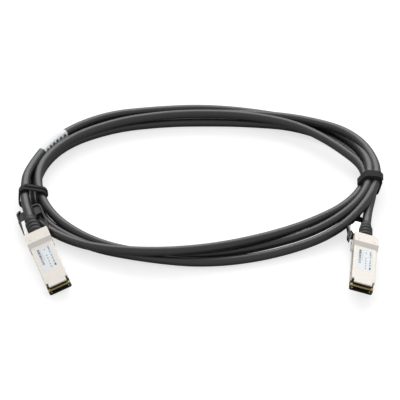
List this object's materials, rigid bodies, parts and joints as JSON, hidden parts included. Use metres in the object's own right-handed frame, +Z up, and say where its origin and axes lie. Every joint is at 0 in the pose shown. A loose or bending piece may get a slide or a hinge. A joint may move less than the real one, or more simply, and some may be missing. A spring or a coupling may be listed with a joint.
{
  "type": "direct attach copper cable",
  "caption": "Coiled black twin-axial network cable with a metal-shelled four-lane plug, slide latch and pull tab at each end, held by two hook-and-loop ties.",
  "frame": {"origin": "on the surface the cable lies on, under the middle of the box round the two plugs", "axes": "+X from the left plug to the right plug, +Y from the plugs to the back of the coil, +Z up"},
  "size_m": [0.3024, 0.242, 0.0224],
  "materials": {
    "nickel_shell": "satin",
    "nose_frame": "satin",
    "bright_pin": "polished",
    "circuit_card": "satin",
    "gold_contact": "polished",
    "stamped_steel": "satin",
    "spring_steel": "satin",
    "black_plastic": "satin",
    "boot_rubber": "matte",
    "ferrule": "satin",
    "wire_jacket": "satin",
    "pin_steel": "satin",
    "label_white": "satin",
    "cable_jacket": "satin",
    "tie_fabric": "matte"
  },
  "bodies": {
    "cable_assembly": {"left_top_shell": "nickel_shell", "left_bottom_shell": "nickel_shell", "left_nose_frame": "nose_frame", "left_nose_pins": "bright_pin", "left_paddle_card": "circuit_card", "left_card_contacts": "gold_contact", "left_return_springs": "spring_steel", "left_strain_relief_boot": "boot_rubber", "left_crimp_ferrule": "ferrule", "left_twinax_pairs": "wire_jacket", "left_shell_pins": "pin_steel", "left_shell_label": "label_white", "right_top_shell": "nickel_shell", "right_bottom_shell": "nickel_shell", "right_nose_frame": "nose_frame", "right_nose_pins": "bright_pin", "right_paddle_card": "circuit_card", "right_card_contacts": "gold_contact", "right_return_springs": "spring_steel", "right_strain_relief_boot": "boot_rubber", "right_crimp_ferrule": "ferrule", "right_twinax_pairs": "wire_jacket", "right_shell_pins": "pin_steel", "right_shell_label": "label_white", "cable_coil": "cable_jacket", "left_cable_tail": "cable_jacket", "right_cable_tail": "cable_jacket", "left_tie": "tie_fabric", "right_tie": "tie_fabric"},
    "left_latch": {"left_latch_slider": "stamped_steel", "left_pull_tab": "black_plastic"},
    "right_latch": {"right_latch_slider": "stamped_steel", "right_pull_tab": "black_plastic"}
  },
  "joints": [
    {"name": "left_latch_slide", "type": "slide", "parent": "cable_assembly", "child": "left_latch", "axis": [-0.3249, 0.9437, 0.0628], "range_m": [0, 0.0025], "stiffness_N_per_m": 800, "deforming": ["left_return_springs"]},
    {"name": "right_latch_slide", "type": "slide", "parent": "cable_assembly", "child": "right_latch", "axis": [0.0958, 0.9944, -0.0436], "range_m": [0, 0.0025], "stiffness_N_per_m": 800, "deforming": ["right_return_springs"]}
  ]
}
